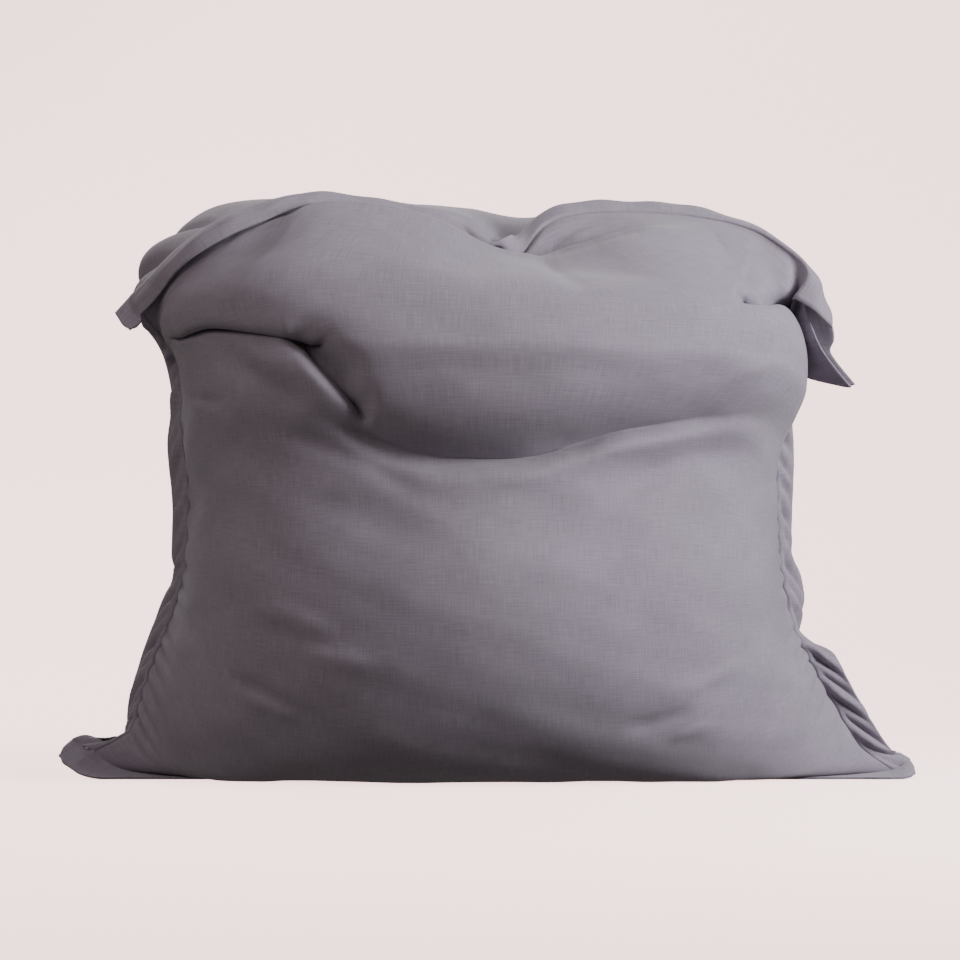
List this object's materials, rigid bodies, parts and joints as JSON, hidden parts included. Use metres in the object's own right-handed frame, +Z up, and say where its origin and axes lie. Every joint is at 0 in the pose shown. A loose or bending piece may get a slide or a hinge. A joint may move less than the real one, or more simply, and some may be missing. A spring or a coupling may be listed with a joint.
{
  "type": "outdoor pouf",
  "caption": "Large filled outdoor pouf that stands on its bottom seam, with a slumped top, a waist crease and a flat border round its seams.",
  "frame": {"origin": "middle of the pouf's outline in plan, on the surface it stands on", "axes": "+X to the right as seen from the front, +Y towards the back, +Z up"},
  "size_m": [1.2385, 0.7231, 0.8324],
  "materials": {
    "cloth": "matt linen-like weave, mid grey with a slight violet tint",
    "border_cloth": "the same weave, doubled and pressed flat",
    "tab": "dark woven tape, plain"
  },
  "bodies": {
    "root": {"filled_bag": "cloth", "border_left": "border_cloth", "border_right": "border_cloth", "border_top": "border_cloth", "border_foot": "border_cloth", "ear_top_right": "border_cloth", "label": "tab"}
  },
  "joints": []
}
